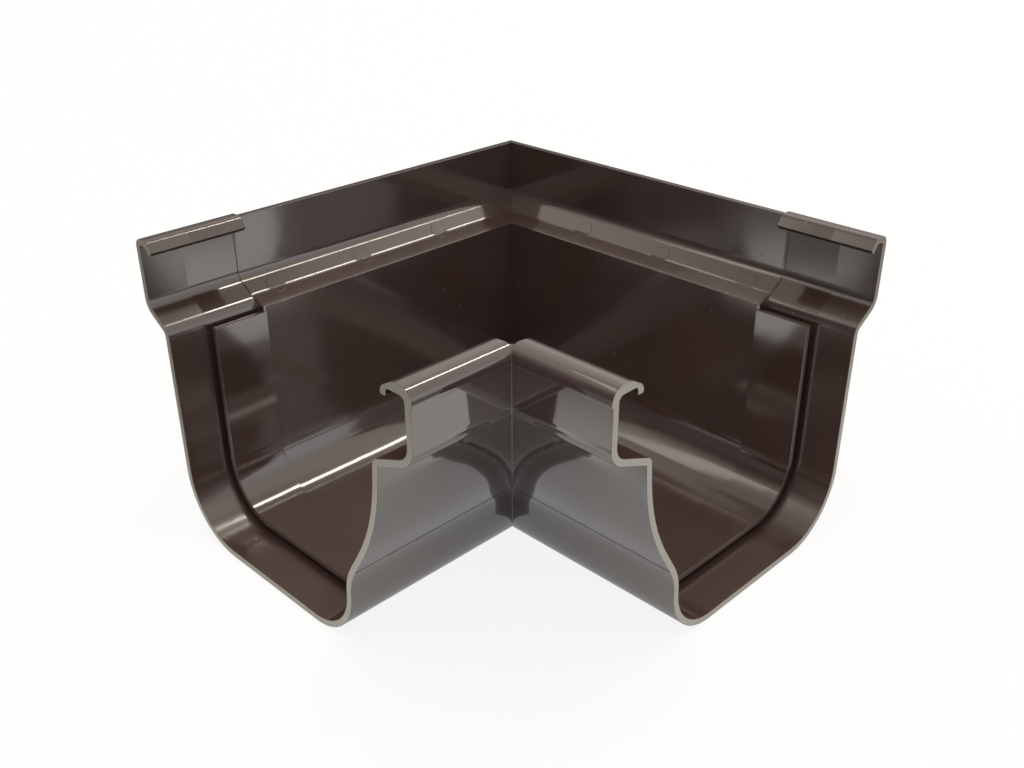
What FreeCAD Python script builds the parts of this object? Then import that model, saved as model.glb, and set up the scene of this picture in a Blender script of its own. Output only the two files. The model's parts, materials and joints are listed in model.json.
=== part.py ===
import FreeCAD, Part
import math
import os
import Sketcher
from FreeCAD import Placement, Rotation, Vector

# Internal angle for an ogee gutter: two equal arms at a right angle, moulded as one piece.
# Arm one runs along +X and arm two along +Y from the far back corner. In a section across an
# arm, "across" is measured from the back (fascia) face to the front and "up" from the floor.

doc = FreeCAD.newDocument("internal_gutter_angle")
sheet = doc.addObject("Spreadsheet::Sheet", "Sizes")

SIZES = [
    # whole part
    ("arm_length", 215.0),
    ("width", 170.0),
    ("back_height", 133.6),
    # wall thicknesses
    ("wall", 2.7),
    ("body_wall", 3.0),
    # socket at each end of the part
    ("socket_depth", 42.9),
    ("slot_gap", 3.0),
    ("slot_end_wall", 2.4),
    ("tongue_wall", 2.4),
    ("tongue_length", 24.3),
    ("tongue_root", 1.2),
    ("tongue_drop", 0.3),
    # back wall: hook, ledge and bend into the floor
    ("hook_rise", 2.2),
    ("hook_radius", 4.0),
    ("hook_bend", 8.0),
    ("hook_bend_radius", 3.0),
    ("hook_reach", 11.8),
    ("hook_drop", 4.2),
    ("ledge_height", 105.0),
    ("ledge_depth", 12.7),
    ("ledge_drop", 8.0),
    ("ledge_root_radius", 8.0),
    ("ledge_edge_radius", 3.4),
    ("back_bend_radius", 31.0),
    # body between the sockets, set in from the socket walls
    ("body_inset", 4.5),
    ("shelf_break", 2.8),
    ("shelf_break_radius", 3.4),
    ("shelf_step_run", 1.0),
    ("shelf_step_drop", 0.87),
    ("shelf_drop", 1.3),
    ("body_bend_radius", 28.0),
    ("ramp_gap", 3.0),
    ("ramp_run", 9.0),
    ("ramp_radius", 4.0),
    # ogee front
    ("foot_across", 129.0),
    ("roll_radius", 25.6),
    ("foot_flat", 0.3),
    ("foot_bend_radius", 23.0),
    ("ogee_angle", 31.0),
    ("ogee_run", 19.4),
    ("ogee_radius", 85.0),
    ("face_rise", 28.3),
    ("face_lean", 2.5),
    ("step_root_radius", 0.6),
    ("step_rise", 7.6),
    ("step_edge_radius", 9.0),
    ("front_wall_height", 21.7),
    # front lip
    ("lip_length", 46.2),
    ("lip_end_angle", 10.0),
    ("lip_proud", 0.8),
    ("lip_rise", 6.8),
    ("lip_shoulder_radius", 5.8),
    ("lip_crown", 3.6),
    ("lip_root_radius", 2.4),
    ("lip_bend", 8.5),
    ("lip_bend_radius", 5.0),
    ("lip_reach", 14.9),
    ("lip_nose_drop", 3.7),
    ("lip_nose_radius", 3.2),
    ("lip_tip_length", 2.9),
    ("lip_tip_wall", 2.8),
    ("lip_tip_radius", 0.5),
    ("lip_slot_radius", 1.4),
]

for row, (alias, value) in enumerate(SIZES, start=1):
    sheet.set(f"A{row}", alias)
    sheet.set(f"B{row}", str(value))
    sheet.setAlias(f"B{row}", alias)
doc.recompute()


class Size:
    """A length or angle: its present number and the expression that ties it to the sheet."""

    def __init__(self, number, text):
        self.number = number
        self.text = text

    def __add__(self, other):
        other = as_size(other)
        return Size(self.number + other.number, f"({self.text} + {other.text})")

    def __sub__(self, other):
        other = as_size(other)
        return Size(self.number - other.number, f"({self.text} - {other.text})")

    def __mul__(self, other):
        other = as_size(other)
        return Size(self.number * other.number, f"({self.text} * {other.text})")

    def __truediv__(self, other):
        other = as_size(other)
        return Size(self.number / other.number, f"({self.text} / {other.text})")

    def __neg__(self):
        return Size(-self.number, f"(0 - {self.text})")

    def sin(self):
        return Size(math.sin(math.radians(self.number)), f"sin({self.text})")

    def cos(self):
        return Size(math.cos(math.radians(self.number)), f"cos({self.text})")

    def tan(self):
        return Size(math.tan(math.radians(self.number)), f"tan({self.text})")


def as_size(value):
    return value if isinstance(value, Size) else Size(float(value), repr(float(value)))


def size(alias):
    return Size(float(sheet.get(alias)), f"Sizes.{alias}")


def bind(thing, prop, value):
    thing.setExpression(prop, value.text)


def path(name, points, along, closed=False):
    """Sketch across an arm: straight runs joined at the points, with tangent arcs where a radius is given.

    Each point is (across, up, radius), with None for a plain joint or an end. The sketch stands
    at the distance `along` from the back corner.
    """
    sketch = doc.addObject("Sketcher::SketchObject", name)
    sketch.Placement = Placement(Vector(along.number, 0, 0), Rotation(Vector(1, 1, 1), 120))
    bind(sketch, "Placement.Base.x", along)

    count = len(points)
    places = [Vector(across.number, up.number, 0) for across, up, radius in points]
    joints = range(count) if closed else range(1, count - 1)
    arrivals, departures, arcs, turns = list(places), list(places), {}, {}
    for i in joints:
        if points[i][2] is None:
            continue
        arrive = (places[i] - places[i - 1]).normalize()
        leave = (places[(i + 1) % count] - places[i]).normalize()
        turn = math.atan2(arrive.x * leave.y - arrive.y * leave.x, arrive.dot(leave))
        radius = points[i][2].number
        reach = radius * math.tan(abs(turn) / 2)
        side = Vector(-arrive.y, arrive.x, 0) * math.copysign(1, turn)
        arrivals[i] = places[i] - arrive * reach
        departures[i] = places[i] + leave * reach
        centre = arrivals[i] + side * radius
        first = math.atan2(arrivals[i].y - centre.y, arrivals[i].x - centre.x)
        low, high = (first, first + turn) if turn > 0 else (first + turn, first)
        arcs[i] = Part.ArcOfCircle(Part.Circle(centre, Vector(0, 0, 1), radius), low, high)
        turns[i] = turn

    run_count = count if closed else count - 1
    runs = [Part.LineSegment(departures[i], arrivals[(i + 1) % count]) for i in range(run_count)]
    sketch.addGeometry(runs + list(arcs.values()), False)
    sketch.addGeometry([Part.Point(places[i]) for i in arcs], True)

    rules, ties = [], []

    def pin(geometry, spot, point):
        for kind, axis, value in (("DistanceX", -2, point[0]), ("DistanceY", -1, point[1])):
            if value is zero:
                rules.append(Sketcher.Constraint("PointOnObject", geometry, spot, axis))
                continue
            ties.append((len(rules), value))
            rules.append(Sketcher.Constraint(kind, -1, 1, geometry, spot, value.number))

    if not closed:
        pin(0, 1, points[0])
        pin(run_count - 1, 2, points[-1])
    order = list(arcs)
    for i in joints:
        before, after = (i - 1) % run_count, i
        if i not in arcs:
            rules.append(Sketcher.Constraint("Coincident", before, 2, after, 1))
            pin(after, 1, points[i])
            continue
        arc = run_count + order.index(i)
        corner = arc + len(order)
        into, out = (1, 2) if turns[i] > 0 else (2, 1)
        rules.append(Sketcher.Constraint("Tangent", before, 2, arc, into))
        rules.append(Sketcher.Constraint("Tangent", arc, out, after, 1))
        rules.append(Sketcher.Constraint("PointOnObject", corner, 1, before))
        rules.append(Sketcher.Constraint("PointOnObject", corner, 1, after))
        ties.append((len(rules), points[i][2]))
        rules.append(Sketcher.Constraint("Radius", arc, points[i][2].number))
        pin(corner, 1, points[i])
    sketch.addConstraint(rules)
    for index, value in ties:
        bind(sketch, f"Constraints[{index}]", value)
    return sketch


def draw_out(name, section, length):
    """Solid bar of a section, drawn out along the arm towards its end."""
    solid = doc.addObject("Part::Extrusion", name)
    solid.Base = section
    solid.DirMode = "Custom"
    solid.Dir = Vector(1, 0, 0)
    solid.Solid = True
    bind(solid, "LengthFwd", length)
    return solid


def strip(name, sketch, thickness, length):
    """Wall of even thickness on the channel side of a path, drawn out along the arm."""
    face = doc.addObject("Part::Offset2D", name + "_section")
    face.Source = sketch
    face.Mode = "Skin"
    face.Join = "Intersection"
    face.Fill = True
    bind(face, "Value", -thickness)
    return draw_out(name, face, length)


zero = as_size(0)
arm_length = size("arm_length")
width = size("width")
wall = size("wall")
socket_depth = size("socket_depth")
socket_start = arm_length - socket_depth
shell_start = socket_start - size("tongue_root")

# back wall: the ledge falls from the upper wall to the lower wall
ledge_depth = size("ledge_depth")
ledge_height = size("ledge_height")
ledge_slope = size("ledge_drop") / ledge_depth
ledge_foot = ledge_height - size("ledge_drop")
hook_top = size("back_height") + size("hook_rise")
hook = [
    (size("hook_reach"), hook_top - size("hook_drop"), None),
    (size("hook_bend"), hook_top, size("hook_bend_radius")),
    (zero, hook_top, size("hook_radius")),
]
ledge_root = (zero, ledge_height, size("ledge_root_radius"))

# ogee front: foot, slope, leaning upper face, step and front wall, built up from the floor roll
foot_face = size("foot_across")
foot_top = size("roll_radius") + size("foot_flat")
foot_bend = foot_top + size("foot_bend_radius") * (size("ogee_angle") / 2).tan()
ogee_face = foot_face + size("ogee_run")
ogee_bend = foot_bend + size("ogee_run") / size("ogee_angle").tan()
step_root = ogee_bend + size("face_rise")
step_edge = step_root + size("step_rise")
lip_foot = step_edge + size("front_wall_height")
front = [
    (foot_face, zero, size("roll_radius")),
    (foot_face, foot_bend, size("foot_bend_radius")),
    (ogee_face, ogee_bend, size("ogee_radius")),
    (ogee_face + size("face_lean"), step_root, size("step_root_radius")),
    (width, step_edge, size("step_edge_radius")),
    (width, lip_foot + size("lip_rise") / 4, None),
]

# socket shell at the end of the arm, hooked along its back top edge
socket_path = path("socket_path", hook + [
    ledge_root,
    (ledge_depth, ledge_foot, size("ledge_edge_radius")),
    (ledge_depth, zero, size("back_bend_radius")),
] + front, shell_start)
socket = strip("socket", socket_path, wall, arm_length - shell_start)

# body between the socket and the mitre: its lower wall and floor stand in from the socket's
inset = size("body_inset")
break_across = ledge_depth - size("shelf_break")
break_height = ledge_height - ledge_slope * break_across
shelf_edge = ledge_foot - size("shelf_drop")
ramp_end = foot_face - size("roll_radius") - size("ramp_gap")
body_path = path("body_path", [
    (zero, size("back_height"), None),
    ledge_root,
    (break_across, break_height, size("shelf_break_radius")),
    (break_across + size("shelf_step_run"), break_height - size("shelf_step_drop"), None),
    (ledge_depth + inset, shelf_edge, None),
    (ledge_depth + inset, inset, size("body_bend_radius")),
    (ramp_end - size("ramp_run"), inset, size("ramp_radius")),
    (ramp_end, zero, size("ramp_radius")),
] + front, zero)
body = strip("body", body_path, size("body_wall"), socket_start)

# slot for the gutter end: closed by a wall at its bottom, kept by a tongue inside
tongue_face = wall + size("slot_gap")
tongue_top = shelf_edge - size("tongue_drop")
slot_end_path = path("slot_end_path", [
    (ledge_depth, shelf_edge, None),
    (ledge_depth, zero, size("back_bend_radius")),
    (foot_face, zero, size("roll_radius")),
    (foot_face, foot_top, None),
], socket_start - size("slot_end_wall"))
slot_end = strip("slot_end", slot_end_path, inset + size("body_wall"), size("slot_end_wall"))

tongue_path = path("tongue_path", [
    (ledge_depth + tongue_face, tongue_top, None),
    (ledge_depth + tongue_face, tongue_face, size("back_bend_radius") - tongue_face),
    (foot_face - tongue_face, tongue_face, size("roll_radius") - tongue_face),
    (foot_face - tongue_face, foot_top, None),
], shell_start)
tongue = strip("tongue", tongue_path, size("tongue_wall"), size("tongue_root") + size("tongue_length"))

# front lip: a thick rim on the front wall, with a nose rolled back over the channel near the end
lip_top = lip_foot + size("lip_rise")
lip_under = lip_top - size("lip_crown")
lip_back = width - size("lip_reach")
lip_tip = lip_top - size("lip_nose_drop") - size("lip_tip_length")
lip_section = path("lip_section", [
    (width - wall, lip_foot, None),
    (width + size("lip_proud"), lip_foot, None),
    (width + size("lip_proud"), lip_top, size("lip_shoulder_radius")),
    (width - size("lip_bend"), lip_top, size("lip_bend_radius")),
    (lip_back, lip_top - size("lip_nose_drop"), size("lip_nose_radius")),
    (lip_back, lip_tip, size("lip_tip_radius")),
    (lip_back + size("lip_tip_wall"), lip_tip, size("lip_tip_radius")),
    (lip_back + size("lip_tip_wall"), lip_under, size("lip_slot_radius")),
    (width - wall, lip_under, size("lip_root_radius")),
], zero, closed=True)
full_lip = draw_out("full_lip", lip_section, arm_length)

lip_gap = doc.addObject("Part::Box", "lip_gap")
lip_gap.Placement = Placement(Vector(0, 0, 0), Rotation(Vector(0, 0, 1), 180))
bind(lip_gap, "Placement.Base.x", arm_length - size("lip_length"))
bind(lip_gap, "Placement.Base.y", width - wall * 0.75)
bind(lip_gap, "Placement.Base.z", lip_foot - width / 2)
bind(lip_gap, "Placement.Rotation.Angle", size("lip_end_angle") + 180)
for side in ("Length", "Width", "Height"):
    bind(lip_gap, side, width)
lip = doc.addObject("Part::Cut", "lip")
lip.Base = full_lip
lip.Tool = lip_gap

# one arm, cut off along the mitre, then doubled across it
arm = doc.addObject("Part::MultiFuse", "arm")
arm.Shapes = [socket, body, slot_end, tongue, lip]

mitre = doc.addObject("Part::Box", "mitre")
mitre.Placement = Placement(Vector(-width.number, -width.number, -width.number), Rotation(Vector(0, 0, 1), 45))
for axis in "xyz":
    bind(mitre, f"Placement.Base.{axis}", -width)
bind(mitre, "Length", (arm_length + width) * 2)
bind(mitre, "Width", arm_length + width)
bind(mitre, "Height", size("back_height") + width * 2)

mitred = doc.addObject("Part::Cut", "mitred_arm")
mitred.Base = arm
mitred.Tool = mitre

second = doc.addObject("Part::Mirroring", "second_arm")
second.Source = mitred
second.Base = Vector(0, 0, 0)
second.Normal = Vector(1, -1, 0)

angle = doc.addObject("Part::Fuse", "gutter_angle")
angle.Label = "gutter_angle"
angle.Base = mitred
angle.Tool = second
angle.Refine = True
for axis in "xy":
    bind(angle, f"Placement.Base.{axis}", -arm_length / 2)
doc.recompute()

faults = [item.Name for item in doc.Objects if {"Invalid", "Error"} & set(item.State)]
if faults:
    raise RuntimeError("not built: " + ", ".join(faults))
shape = angle.Shape
if shape.isNull() or not shape.isValid() or len(shape.Solids) != 1:
    raise RuntimeError("gutter_angle is not one sound solid")

os.makedirs("parts", exist_ok=True)
shape.exportStep("parts/gutter_angle.step")
box = shape.BoundBox
print("box", round(box.XLength, 3), round(box.YLength, 3), round(box.ZLength, 3), "volume", round(shape.Volume, 1))
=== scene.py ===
"""Looks of the internal gutter angle: one glossy brown PVC moulding on a white studio floor."""

import json
import math

import bmesh
import bpy
from mathutils import Matrix, Vector

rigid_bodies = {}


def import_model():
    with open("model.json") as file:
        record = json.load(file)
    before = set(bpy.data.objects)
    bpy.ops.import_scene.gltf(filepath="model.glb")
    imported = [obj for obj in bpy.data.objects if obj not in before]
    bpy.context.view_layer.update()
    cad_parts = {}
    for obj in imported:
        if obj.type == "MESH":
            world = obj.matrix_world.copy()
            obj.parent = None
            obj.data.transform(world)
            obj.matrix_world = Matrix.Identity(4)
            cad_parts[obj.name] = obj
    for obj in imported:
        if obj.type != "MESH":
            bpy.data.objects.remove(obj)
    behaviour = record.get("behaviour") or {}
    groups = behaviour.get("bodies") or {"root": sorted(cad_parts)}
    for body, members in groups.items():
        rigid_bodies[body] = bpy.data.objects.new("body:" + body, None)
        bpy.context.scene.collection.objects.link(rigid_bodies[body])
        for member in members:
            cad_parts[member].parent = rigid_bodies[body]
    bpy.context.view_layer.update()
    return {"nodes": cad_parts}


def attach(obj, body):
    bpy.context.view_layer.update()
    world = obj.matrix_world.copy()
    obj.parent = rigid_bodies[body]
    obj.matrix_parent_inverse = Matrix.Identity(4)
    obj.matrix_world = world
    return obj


BODY = "root"
NODE = "gutter_angle"
MM = 0.001

# Places on the angle, in millimetres from its middle. The arms run along X and Y from the back
# corner, so the larger of the two is the place along an arm and the smaller the place across it.
HALF_SIDE = 107.5
END_SKIN = 0.02
FRONT_BLEND = 20.0
BACK_CORNER = -60.0

# The shelf on the back wall, in millimetres: how far its step lies from the wall's outer face, and
# on each side of the step the slope's fall in degrees and its height if it went on to that face.
SHELF_STEP = 12.0
SHELF_SLOPES = ((32.2, 108.58), (19.4, 104.93))
MITRE = (1, -1, 0)

# The tongue on the back wall in each socket, in millimetres: where it begins and ends along the
# arm, how far across it reaches, the height from which its face leans; and that lean of the
# shading, along the arm and up, as parts of the face's normal.
TONGUE_START = 63.4
TONGUE_END = 88.9
TONGUE_FACE = -83.0
TONGUE_LOW = 30.0
TONGUE_LEAN = (0.018, 0.040)

# Round marks that the mould's ejector pins leave on the shelf, in millimetres: each one's place
# along the first arm and from the wall's outer face, and how proud it stands. The first one is
# folded over the back corner.
PIN_MARKS = ((-98.9, 8.6, 0.30), (-46.0, 10.6, 0.16), (2.5, 10.6, 0.15), (51.0, 10.6, 0.14))
PIN_RADIUS = 4.6
PIN_DEPTH = 1.6
PIN_SIDES = 48
PIN_RIM = 0.15
PIN_RIM_STEPS = 2
TOP_WITHIN = 0.0001
WELD = 0.001

# Colours of the moulding, and how much of its skin a dust speck hides.
SKIN_DARK = (0.058, 0.0340, 0.0315)
SKIN_LIGHT = (0.070, 0.0400, 0.0370)
# The end faces' colour: lighter, partly their own cut colour and partly a painted sheen of the
# floor.
END_FACE_AND_SHEEN = (0.36, 0.34, 0.30)
DUST = (0.30, 0.27, 0.25)
DUST_COVER = 0.5

# Patterns of the finish: each noise's scale per metre, detail and roughness, the dust's cells per
# metre, and the values between which a pattern comes in.
FLOW_NOISE = (26.0, 3.0, 0.5)
FLOW_IN_COLOUR = (0.3, 0.7)
FLOW_IN_GLOSS = (0.25, 0.75)
DUST_CELLS = 240.0
DUST_EDGE = (0.05, 0.12)
DUST_NOISE = (190.0, 0.0, 0.5)
DUST_PATCH = (0.69, 0.73)
WAVE_NOISE = (70.0, 1.0, 0.4)

# How dull the skin is, how much less so at the front, and what other places add to it.
DULL_SKIN = 0.1
SHINE_FRONT = 0.06
DULL_SOCKET = 0.09
DULL_END = 0.2
DULL_DUST = 0.3
DULL_FLOW = 0.02
SKIN_IOR = 2.0
SKIN_SPECULAR = 0.85

# How far the shading eases sharp edges, and how high the skin's waves are, in millimetres.
EDGE_EASE = 0.5
EASE_SAMPLES = 4
WAVE_HEIGHT = 0.05

# The white floor, in metres: half its side, the middle of its brighter part, and where that begins
# and ends to dim; this dimming is painted shade. At its front lies a painted shadow spot: its
# middle, where its dark ends and where the full light begins. A gloss sees both, dimmed by one
# share.
FLOOR_HALF = 6.0
FLOOR_MIDDLE = (-0.03, 0.07, 0.0)
FLOOR_DIMS = (0.20, 0.36)
FLOOR_PAINTED_SHADE = (0.190, 0.070, 0.0)
FLOOR_PAINTED_SHADE_EDGE = (0.050, 0.090)
FLOOR_DIMMED = 0.75

# The floor's paint, what it gains for the eye and in a gloss, and its share of glow in each.
PAINT = 0.45
PAINT_TO_EYE = 0.5
PAINT_IN_GLOSS = 0.4
GLOW_TO_EYE = 0.88
GLOW_IN_GLOSS = 0.45

# The room in a gloss: its brightness low down, half way up and overhead, and what it gains or
# loses towards the photograph's right and left, the back and the front.
ROOM_LOW = 0.35
ROOM_LOW_LEAST = 0.1
LOW_RIGHT_GAIN = 0.4
LOW_BACK_LOSS = 0.2
ROOM_MIDDLE = 0.5
MIDDLE_RIGHT_GAIN = 0.1
MIDDLE_LEFT_LOSS = 0.05
MIDDLE_BACK_GAIN = 0.35
SIDE_LEFT_LOSS = 0.25
SIDE_BACK_GAIN = 0.8
FRONT_LEFT_LOSS = 0.9
ROOM_TOP = 0.3

# Heights in the room, as sines of the elevation, between which one part turns into the next.
LOW_TO_MIDDLE = (0.25, 0.45)
SIDES_END = (0.5, 0.7)
MIDDLE_TO_TOP = (0.77, 0.9)
WHITE_TO_WARM = (0.3, 0.6)

# The room's soft light on matt surfaces: the heights over which it rises, and its strength
# overhead and from the right.
SOFT_RISE = (0.35, 1.0)
SOFT_TOP = 1.9
SOFT_RIGHT = 0.15

# Colour of the studio's light as the moulding's gloss sees it, and the soft boxes: place and sides
# in metres, brightness of the face.
STUDIO_LIGHT = (1.0, 0.93, 0.81)
SOFT_BOXES = (
    ("left_arm_light", (-2.00, 0.31, 3.00), (1.60, 0.20), 13.0),
    ("right_arm_light", (1.25, -1.56, 2.60), (1.70, 0.38), 0.75),
)

# The photograph's camera: place in metres, direction, roll in degrees, sensor and lens in
# millimetres.
CAMERA_PLACE = (0.2984, 0.2985, 0.2889)
CAMERA_WAY = (-0.62656, -0.62656, -0.46352)
CAMERA_ROLL = 0.22
CAMERA_SENSOR = 36.0
CAMERA_LENS = 38.746


class Shade:
    """One socket of a node tree; sums of sockets add the Math nodes they need."""

    def __init__(self, tree, socket=None):
        self.tree = tree
        self.socket = socket

    def node(self, kind, settings=None, values=None, output=0):
        """Adds one node: its settings first, then the values or links of its sockets."""
        added = self.tree.nodes.new(kind)
        for name, setting in (settings or {}).items():
            setattr(added, name, setting)
        for name, value in (values or {}).items():
            if isinstance(value, Shade):
                self.tree.links.new(value.socket, added.inputs[name])
            else:
                added.inputs[name].default_value = value
        return Shade(self.tree, added.outputs[output] if len(added.outputs) else None)

    def maths(self, operation, first, second):
        return self.node("ShaderNodeMath", {"operation": operation}, {0: first, 1: second})

    def __add__(self, other):
        return self.maths("ADD", self, other)

    def __sub__(self, other):
        return self.maths("SUBTRACT", self, other)

    def __rsub__(self, other):
        return self.maths("SUBTRACT", other, self)

    def __mul__(self, other):
        return self.maths("MULTIPLY", self, other)

    __radd__ = __add__
    __rmul__ = __mul__

    def over(self, limit):
        return self.maths("GREATER_THAN", self, limit)

    def most(self, other):
        return self.maths("MAXIMUM", self, other)

    def least(self, other):
        return self.maths("MINIMUM", self, other)

    def between(self, low, high):
        """0 below low, 1 above high, and a soft rise in between."""
        return self.node(
            "ShaderNodeMapRange",
            {"interpolation_type": "SMOOTHSTEP"},
            {"Value": self, "From Min": low, "From Max": high},
        )


def start(owner):
    """Gives a new material or world an empty node tree."""
    owner.use_nodes = True
    owner.node_tree.nodes.clear()
    return Shade(owner.node_tree)


def rgb(red, green, blue):
    return (red, green, blue, 1.0)


def axes(shade, vector):
    """The parts of a place or a direction: along X, along Y and up."""
    return [
        shade.node("ShaderNodeSeparateXYZ", None, {0: vector}, output=axis) for axis in range(3)
    ]


def noise(shade, place, scale, detail, roughness):
    values = {"Vector": place, "Scale": scale, "Detail": detail, "Roughness": roughness}
    return shade.node("ShaderNodeTexNoise", None, values)


def blend(shade, factor, first, second):
    """Turns from the first colour to the second one."""
    values = {"Factor": factor, "A": first, "B": second}
    return shade.node("ShaderNodeMix", {"data_type": "RGBA"}, values, output=2)


def distance(shade, place, middle):
    return shade.node(
        "ShaderNodeVectorMath", {"operation": "DISTANCE"}, {0: place, 1: middle}, output="Value"
    )


def straight_ray(shade):
    return shade.node("ShaderNodeLightPath", output="Is Camera Ray")


def mirrored_ray(shade):
    gloss = shade.node("ShaderNodeLightPath", output="Is Glossy Ray")
    return gloss.most(shade.node("ShaderNodeLightPath", output="Is Transmission Ray"))


def skin_normal(shade, place, east, north, height):
    """Slight waves over eased edges; the back corner stays sharp, and the tongue's face leans."""
    rounded = shade.node("ShaderNodeBevel", {"samples": EASE_SAMPLES}, {"Radius": EDGE_EASE * MM})
    flat = shade.node("ShaderNodeNewGeometry", output="Normal")
    mitre = 1.0 - (east - north).most(north - east).over(2 * EDGE_EASE * MM)
    back_corner = mitre * (1.0 - east.over(BACK_CORNER * MM))
    values = {"Factor": back_corner, "A": rounded, "B": flat}
    eased = shade.node("ShaderNodeMix", {"data_type": "VECTOR"}, values, output=1)

    along, across = east.most(north), east.least(north)
    tongue = along.over(TONGUE_START * MM) * (1.0 - along.over(TONGUE_END * MM))
    tongue = tongue * (1.0 - across.over(TONGUE_FACE * MM)) * height.over(TONGUE_LOW * MM)
    lean_out, lean_up = TONGUE_LEAN
    outward = tongue * lean_out
    values = {0: outward * east.over(0.0), 1: outward * north.over(0.0), 2: tongue * lean_up}
    lean = shade.node("ShaderNodeCombineXYZ", None, values)
    leaning = shade.node("ShaderNodeVectorMath", {"operation": "ADD"}, {0: eased, 1: lean})

    waves = noise(shade, place, *WAVE_NOISE)
    values = {"Strength": 1.0, "Distance": WAVE_HEIGHT * MM, "Height": waves, "Normal": leaning}
    return shade.node("ShaderNodeBump", None, values)


def glossy_brown_pvc():
    """Dark brown moulded PVC: mirror-like skin, slight waves, flow marks, dust, dull ends with a
    painted sheen.
    """
    material = bpy.data.materials.new("glossy_brown_pvc")
    shade = start(material)
    place = shade.node("ShaderNodeTexCoord", output="Object")
    east, north, height = axes(shade, place)

    flow = noise(shade, place, *FLOW_NOISE)
    values = {"Vector": place, "Scale": DUST_CELLS, "Randomness": 1.0}
    cells = shade.node("ShaderNodeTexVoronoi", {"feature": "F1"}, values)
    patches = noise(shade, place, *DUST_NOISE)
    dust = (1.0 - cells.between(*DUST_EDGE)) * patches.between(*DUST_PATCH)

    along, across = east.most(north), east.least(north)
    ends = along.over((HALF_SIDE - END_SKIN) * MM)
    front = across.between(-FRONT_BLEND * MM, FRONT_BLEND * MM)
    socket = along.over(TONGUE_END * MM) * (1.0 - front)

    skin = blend(shade, flow.between(*FLOW_IN_COLOUR), rgb(*SKIN_DARK), rgb(*SKIN_LIGHT))
    # The end faces turn lighter, partly with a painted sheen.
    ends_and_sheen = blend(shade, ends, skin, rgb(*END_FACE_AND_SHEEN))
    dusty = blend(shade, dust * DUST_COVER, ends_and_sheen, rgb(*DUST))
    dullness = DULL_SKIN - front * SHINE_FRONT + socket * DULL_SOCKET + ends * DULL_END
    dullness = dullness + dust * DULL_DUST + flow.between(*FLOW_IN_GLOSS) * DULL_FLOW

    surface = shade.node(
        "ShaderNodeBsdfPrincipled",
        None,
        {
            "Base Color": dusty,
            "Roughness": dullness,
            "IOR": SKIN_IOR,
            "Specular IOR Level": SKIN_SPECULAR,
            "Normal": skin_normal(shade, place, east, north, height),
        },
    )
    shade.node("ShaderNodeOutputMaterial", None, {"Surface": surface})
    return material


def white_floor_finish():
    """White to the eye but for a faint shadow; in a gloss white near the angle, with painted shade
    far off and in one spot.
    """
    material = bpy.data.materials.new("white_floor_finish")
    shade = start(material)
    place = shade.node("ShaderNodeTexCoord", output="Object")
    straight = straight_ray(shade)
    mirrored = mirrored_ray(shade)

    # Painted shade, seen only in a gloss: the floor dims far from its middle and in one spot.
    far = distance(shade, place, FLOOR_MIDDLE).between(*FLOOR_DIMS)
    clear = distance(shade, place, FLOOR_PAINTED_SHADE).between(*FLOOR_PAINTED_SHADE_EDGE)
    painted_light = 1.0 - far.most(1.0 - clear) * mirrored * FLOOR_DIMMED
    paint = (PAINT + straight * PAINT_TO_EYE + mirrored * PAINT_IN_GLOSS) * painted_light
    matt = shade.node("ShaderNodeBsdfDiffuse", None, {"Color": paint})
    glow = shade.node("ShaderNodeEmission", None, {"Color": painted_light})
    glowing = straight * GLOW_TO_EYE + mirrored * GLOW_IN_GLOSS
    floor = shade.node("ShaderNodeMixShader", None, {0: glowing, 1: matt, 2: glow})
    shade.node("ShaderNodeOutputMaterial", None, {"Surface": floor})
    return material


def finished(name, bm, finish):
    """Makes a bmesh an object of its own, with its finish and its faces outwards."""
    bmesh.ops.recalc_face_normals(bm, faces=bm.faces)
    mesh = bpy.data.meshes.new(name)
    bm.to_mesh(mesh)
    bm.free()
    mesh.materials.append(finish)
    piece = bpy.data.objects.new(name, mesh)
    bpy.context.scene.collection.objects.link(piece)
    return piece


def once_each(parts):
    """Each part once, in the order in which they come."""
    return list(dict.fromkeys(parts))


def pin_disc(bm, place):
    """One ejector pin's flat end, sunk into the shelf, its rim eased; gives back its vertices."""
    made = bmesh.ops.create_cone(
        bm,
        cap_ends=True,
        segments=PIN_SIDES,
        radius1=PIN_RADIUS * MM,
        radius2=PIN_RADIUS * MM,
        depth=PIN_DEPTH * MM,
        matrix=Matrix.Translation((0, 0, -PIN_DEPTH * MM / 2)),
    )
    rim = once_each(
        edge
        for vertex in made["verts"]
        for edge in vertex.link_edges
        if all(abs(end.co.z) < TOP_WITHIN * MM for end in edge.verts)
    )
    eased = bmesh.ops.bevel(
        bm,
        geom=rim,
        offset=PIN_RIM * MM,
        offset_type="OFFSET",
        affect="EDGES",
        segments=PIN_RIM_STEPS,
        profile=0.5,
        material=-1,
    )
    left = [vertex for vertex in made["verts"] if vertex.is_valid]
    disc = once_each(left + eased["verts"])
    bmesh.ops.transform(bm, matrix=place, verts=disc)
    return disc


def keep_side(bm, disc, place, way, closed):
    """Cuts a disc off at a plane and keeps the part that lies its way; gives back its vertices."""
    faces = once_each(face for vertex in disc for face in vertex.link_faces)
    edges = once_each(edge for face in faces for edge in face.edges)
    cut = bmesh.ops.bisect_plane(
        bm, geom=disc + edges + faces, plane_co=place, plane_no=way, clear_inner=True
    )
    rim = [part for part in cut["geom_cut"] if isinstance(part, bmesh.types.BMEdge)]
    if rim and closed:
        bmesh.ops.holes_fill(bm, edges=rim)
    kept = [part for part in cut["geom"] + cut["geom_cut"] if part.is_valid]
    return once_each(part for part in kept if isinstance(part, bmesh.types.BMVert))


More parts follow.
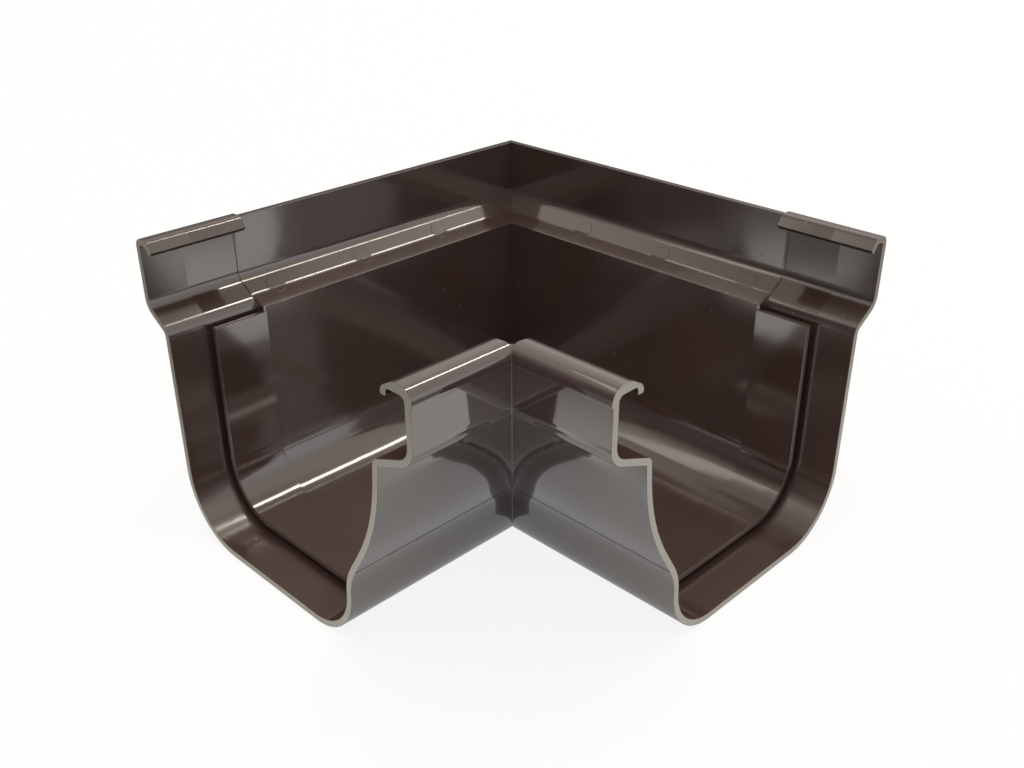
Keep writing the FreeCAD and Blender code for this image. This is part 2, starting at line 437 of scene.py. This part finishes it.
def shelf_pin(bm, along, across, proud):
    """A pin's mark on the first arm: a part on each slope, ending at the step and the mitre."""
    step = Vector((0, SHELF_STEP - HALF_SIDE, 0)) * MM
    for (fall, wall_height), way in zip(SHELF_SLOPES, (-1, 1)):
        slope = math.radians(fall)
        spot = Vector((along, across - HALF_SIDE, wall_height - across * math.tan(slope)))
        lean = Matrix.Rotation(-slope, 4, "X") @ Matrix.Translation((0, 0, proud * MM))
        disc = pin_disc(bm, Matrix.Translation(spot * MM) @ lean)
        disc = keep_side(bm, disc, step, (0, way, 0), closed=True)
        keep_side(bm, disc, (0, 0, 0), MITRE, closed=False)


def pin_marks(finish):
    """The pins' marks on the first arm, and the same on the other one, welded at the mitre."""
    bm = bmesh.new()
    for along, across, proud in PIN_MARKS:
        shelf_pin(bm, along, across, proud)
    other_arm = bmesh.ops.duplicate(bm, geom=[*bm.verts, *bm.edges, *bm.faces])["geom"]
    swap_arms = Matrix(((0, 1, 0, 0), (1, 0, 0, 0), (0, 0, 1, 0), (0, 0, 0, 1)))
    corners = [point for point in other_arm if isinstance(point, bmesh.types.BMVert)]
    bmesh.ops.transform(bm, matrix=swap_arms, verts=corners)
    bmesh.ops.remove_doubles(bm, verts=bm.verts, dist=WELD * MM)
    return finished("pin_marks", bm, finish)


def white_floor(finish):
    bm = bmesh.new()
    bmesh.ops.create_grid(bm, x_segments=1, y_segments=1, size=FLOOR_HALF)
    floor = finished("white_floor", bm, finish)


def room_in_gloss(right, back, height):
    """How bright a gloss sees the room in each direction; leftward and forward are negative."""
    rightward, leftward = right.most(0.0), right.least(0.0)
    backward, forward = back.most(0.0), back.least(0.0)
    low = (right * LOW_RIGHT_GAIN - backward * LOW_BACK_LOSS + ROOM_LOW).most(ROOM_LOW_LEAST)
    sides = 1.0 - height.between(*SIDES_END)
    left_loss = sides * SIDE_LEFT_LOSS + MIDDLE_LEFT_LOSS
    middle = rightward * MIDDLE_RIGHT_GAIN + leftward * left_loss + ROOM_MIDDLE
    middle = middle + backward * (right * sides * SIDE_BACK_GAIN + MIDDLE_BACK_GAIN)
    middle = middle - leftward * forward * FRONT_LEFT_LOSS
    lower = low + (middle - low) * height.between(*LOW_TO_MIDDLE)
    return lower + (ROOM_TOP - middle) * height.between(*MIDDLE_TO_TOP)


def white_room():
    """The studio: white to the eye, soft light from above, darker sides for the gloss to show."""
    world = bpy.data.worlds.new("white_room")
    bpy.context.scene.world = world
    shade = start(world)
    way = shade.node("ShaderNodeTexCoord", output="Generated")
    east, north, height = axes(shade, way)
    right = (north - east) * math.sqrt(0.5)
    back = (east + north) * -math.sqrt(0.5)
    room = room_in_gloss(right, back, height)
    soft = height.between(*SOFT_RISE) * SOFT_TOP + (right * SOFT_RIGHT).most(0.0)

    straight = straight_ray(shade)
    mirrored = mirrored_ray(shade)
    brightness = straight + (1.0 - straight) * (mirrored * room + (1.0 - mirrored) * soft)
    white = straight.most(1.0 - height.between(*WHITE_TO_WARM))
    tone = blend(shade, white, rgb(*STUDIO_LIGHT), rgb(1, 1, 1))
    sky = shade.node("ShaderNodeBackground", None, {"Color": tone, "Strength": brightness})
    shade.node("ShaderNodeOutputWorld", None, {"Surface": sky})


def soft_box(name, place, sides, brightness):
    """A level soft box over the angle, its sides along X and Y, as bright as its face should be."""
    lamp = bpy.data.lights.new(name, "AREA")
    lamp.shape = "RECTANGLE"
    lamp.size, lamp.size_y = sides
    lamp.energy = brightness * math.pi * sides[0] * sides[1]
    lamp.color = STUDIO_LIGHT
    holder = bpy.data.objects.new(name, lamp)
    holder.location = place
    bpy.context.scene.collection.objects.link(holder)


def photo_camera():
    """The photograph's own standpoint: above the corner's open side, looking down into it."""
    forward = Vector(CAMERA_WAY).normalized()
    level = Vector((-1, 1, 0)).normalized()
    upright = level.cross(forward)
    roll = math.radians(CAMERA_ROLL)
    right = level * math.cos(roll) - upright * math.sin(roll)
    up = upright * math.cos(roll) + level * math.sin(roll)
    data = bpy.data.cameras.new("photo_camera")
    data.sensor_width, data.lens = CAMERA_SENSOR, CAMERA_LENS
    camera = bpy.data.objects.new("photo_camera", data)
    turn = Matrix((right, up, -forward)).transposed().to_4x4()
    camera.matrix_world = Matrix.Translation(CAMERA_PLACE) @ turn
    bpy.context.scene.collection.objects.link(camera)
    bpy.context.scene.camera = camera


for left_over in list(bpy.data.objects):
    bpy.data.objects.remove(left_over)

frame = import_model()

bpy.context.scene.view_settings.view_transform = "Standard"
photo_camera()
white_room()
white_floor(white_floor_finish())
for box in SOFT_BOXES:
    soft_box(*box)

brown = glossy_brown_pvc()
angle = frame["nodes"][NODE]
angle.data.materials[0] = brown
marks = pin_marks(brown)
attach(marks, BODY)
